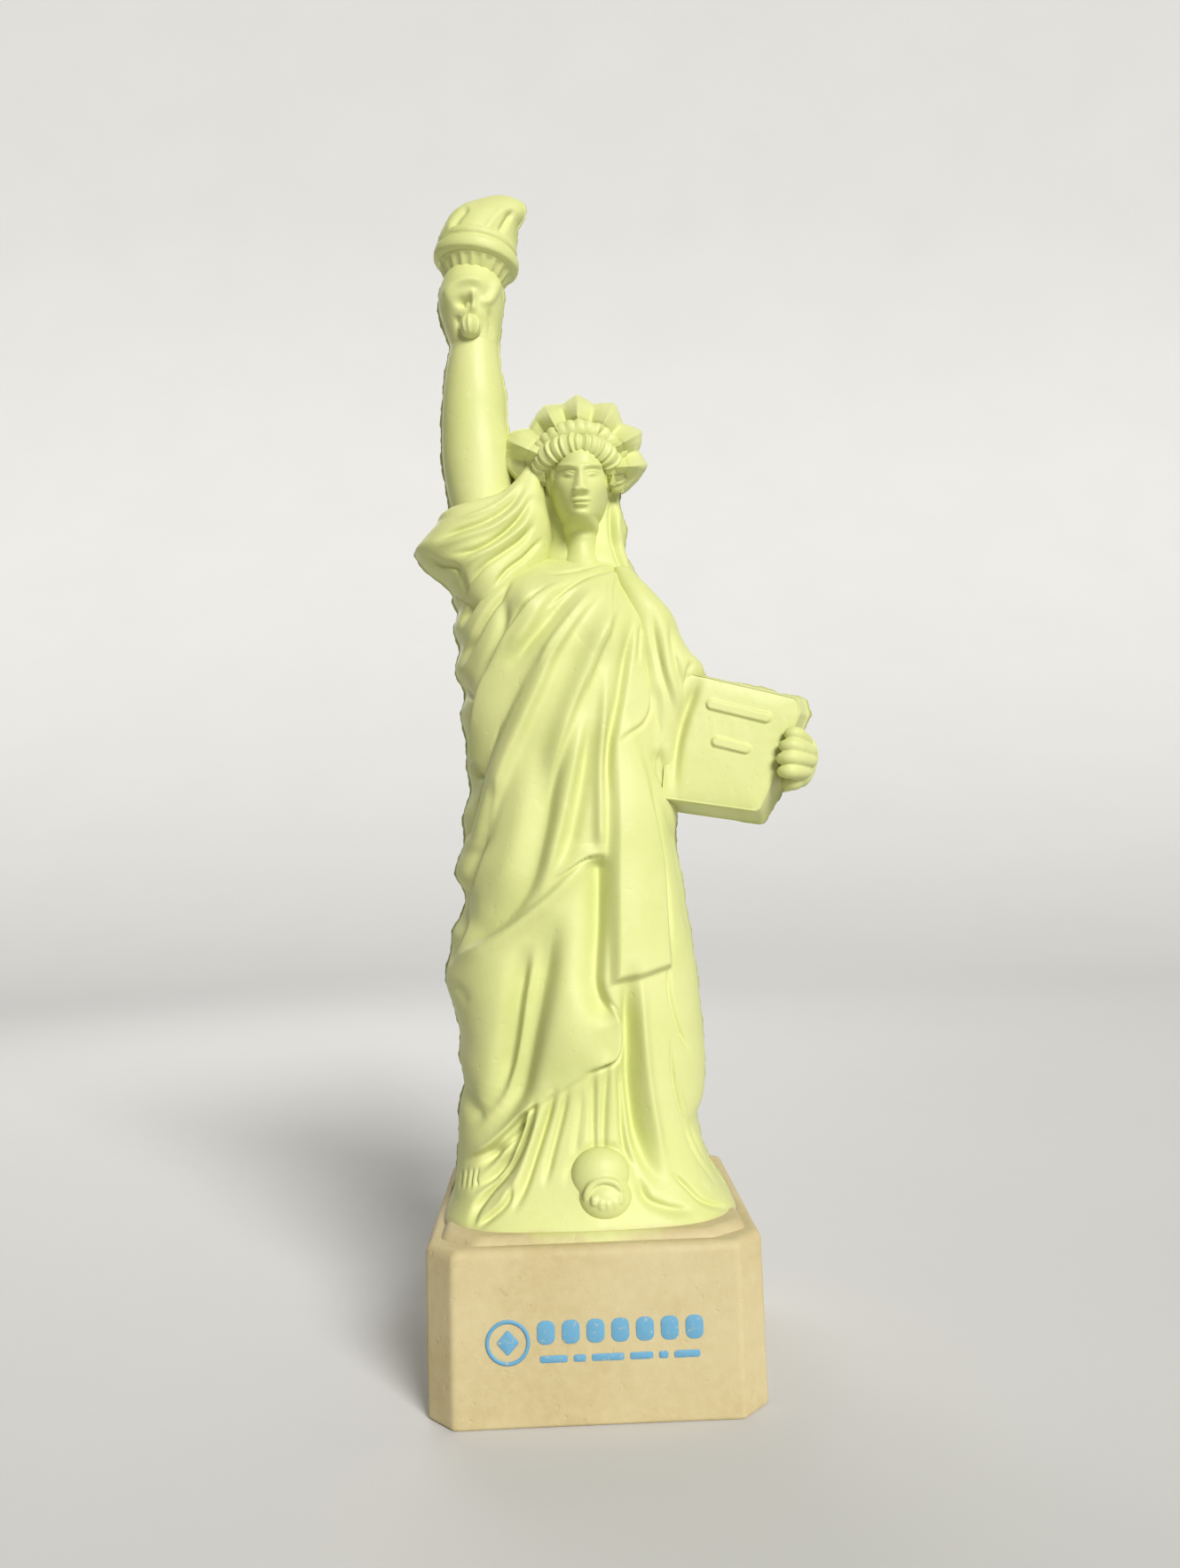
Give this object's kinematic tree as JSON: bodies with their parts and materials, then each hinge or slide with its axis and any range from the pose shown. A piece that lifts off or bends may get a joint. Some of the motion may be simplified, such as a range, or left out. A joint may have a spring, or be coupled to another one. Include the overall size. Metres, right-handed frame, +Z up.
{
  "type": "foam landmark statue",
  "caption": "Soft foam souvenir statue of a robed, crowned figure holding a torch and a tablet, on an eight-sided block pedestal.",
  "frame": {"origin": "centre of the pedestal's underside", "axes": "+Z up from pedestal to flame; the figure faces -Y, its raised arm is on the -X side and its tablet on the +X side"},
  "size_m": [0.0603, 0.0454, 0.1784],
  "materials": {
    "foam_green": "satin pale yellow-green paint on self-skinned foam",
    "foam_beige": "matte beige paint on self-skinned foam"
  },
  "bodies": {
    "root": {"pedestal": "foam_beige", "plinth": "foam_beige", "robe": "foam_green", "mantle_end": "foam_green", "sandalled_foot": "foam_green", "right_sleeve": "foam_green", "left_sleeve": "foam_green", "raised_arm": "foam_green", "raised_hand": "foam_green", "torch_handle": "foam_green", "torch_gallery": "foam_green", "torch_flame": "foam_green", "head": "foam_green", "hair": "foam_green", "crown": "foam_green", "tablet": "foam_green", "tablet_hand": "foam_green"}
  },
  "joints": []
}
